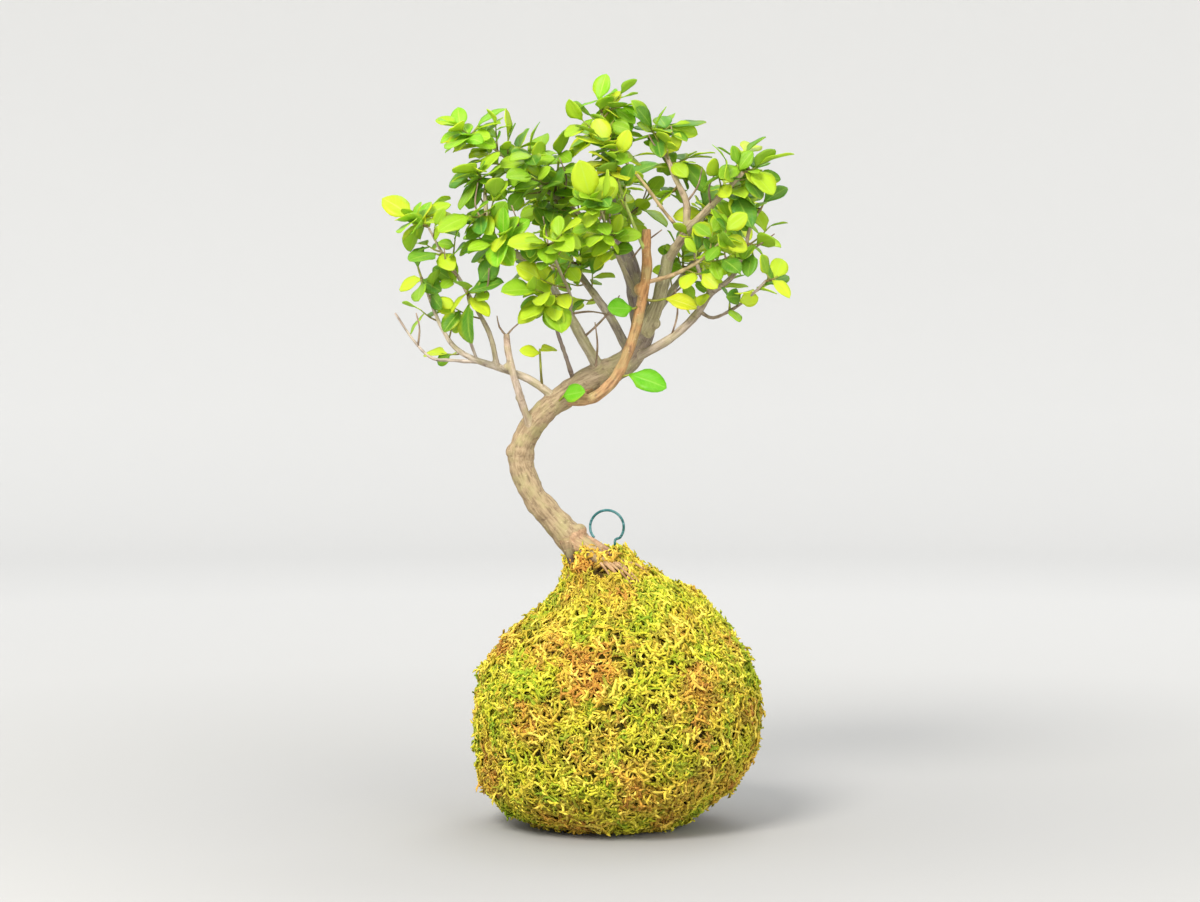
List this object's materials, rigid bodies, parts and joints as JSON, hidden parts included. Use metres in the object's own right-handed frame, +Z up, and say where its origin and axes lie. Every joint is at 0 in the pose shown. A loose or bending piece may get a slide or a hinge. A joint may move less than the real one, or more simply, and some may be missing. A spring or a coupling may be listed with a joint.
{
  "type": "kokedama moss ball plant",
  "caption": "Small crooked sweet plum tree with glossy leaves growing from a soil ball wrapped in moss, with a green wire ring at its neck.",
  "frame": {"origin": "middle of the small flat spot under the moss that the plant rests on", "axes": "+Z up along the plant, +X to the right with the trunk's elbow bending to the left, +Y to the back"},
  "size_m": [0.1849, 0.1379, 0.3398],
  "materials": {
    "moss": "dried and living sheet moss, curly strands, matt",
    "soil": "packed dark potting soil, matt",
    "bark": "smooth young bark, tan with grey and olive patches",
    "leaf_green": "glossy living leaf, mid green",
    "leaf_light": "glossy young leaf, yellow green",
    "coated_wire": "green plastic coated wire"
  },
  "bodies": {
    "root": {"soil_ball": "soil", "moss_cover": "moss", "trunk_and_branches": "bark", "wire_ring": "coated_wire", "leafy_stem_top_left": "leaf_light", "leafy_stem_top_left_inner": "leaf_green", "leafy_stem_top_left_back": "leaf_green", "leafy_stem_left_upper": "leaf_green", "leafy_stem_left_tip": "leaf_green", "leafy_stem_left_side": "leaf_green", "leafy_stem_left_middle": "leaf_light", "leafy_stem_far_left": "leaf_light", "leafy_stem_far_left_side": "leaf_green", "leafy_stem_low_left_side": "leaf_green", "leafy_stem_low_left_tip": "leaf_green", "leafy_stem_front_left_tip": "leaf_green", "leafy_stem_front_left_low": "leaf_green", "leafy_stem_front_tip": "leaf_green", "leafy_stem_front_low": "leaf_light", "leafy_stem_front_side": "leaf_green", "leafy_stem_crown_top": "leaf_light", "leafy_stem_crown_side": "leaf_green", "leafy_stem_yellow": "leaf_light", "leafy_stem_crown_back": "leaf_green", "leafy_stem_right_top": "leaf_green", "leafy_stem_right_top_side": "leaf_green", "leafy_stem_right_inner": "leaf_green", "leafy_stem_right_tip": "leaf_green", "leafy_stem_right_side": "leaf_green", "leafy_stem_right_low": "leaf_green", "leafy_stem_low_right_tip": "leaf_green", "leafy_stem_low_right_side": "leaf_green", "leafy_stem_hook_tip": "leaf_green", "leafy_stem_hook_side": "leaf_green", "leafy_stem_right_heart": "leaf_green", "leafy_stem_back_right_tip": "leaf_green", "leafy_stem_back_right_side": "leaf_green", "leafy_stem_back_left_tip": "leaf_green", "leafy_stem_back_left_side": "leaf_green", "leafy_stem_back_tip": "leaf_green", "leafy_stem_back_side": "leaf_green", "leafy_stem_front_right_tip": "leaf_green", "leafy_stem_bright_leaf": "leaf_light", "leafy_stem_bend_leaf": "leaf_light", "leafy_stem_pair": "leaf_green", "leafy_stem_yellow_leaf": "leaf_light", "leafy_stem_heart_leaf": "leaf_light"}
  },
  "joints": []
}
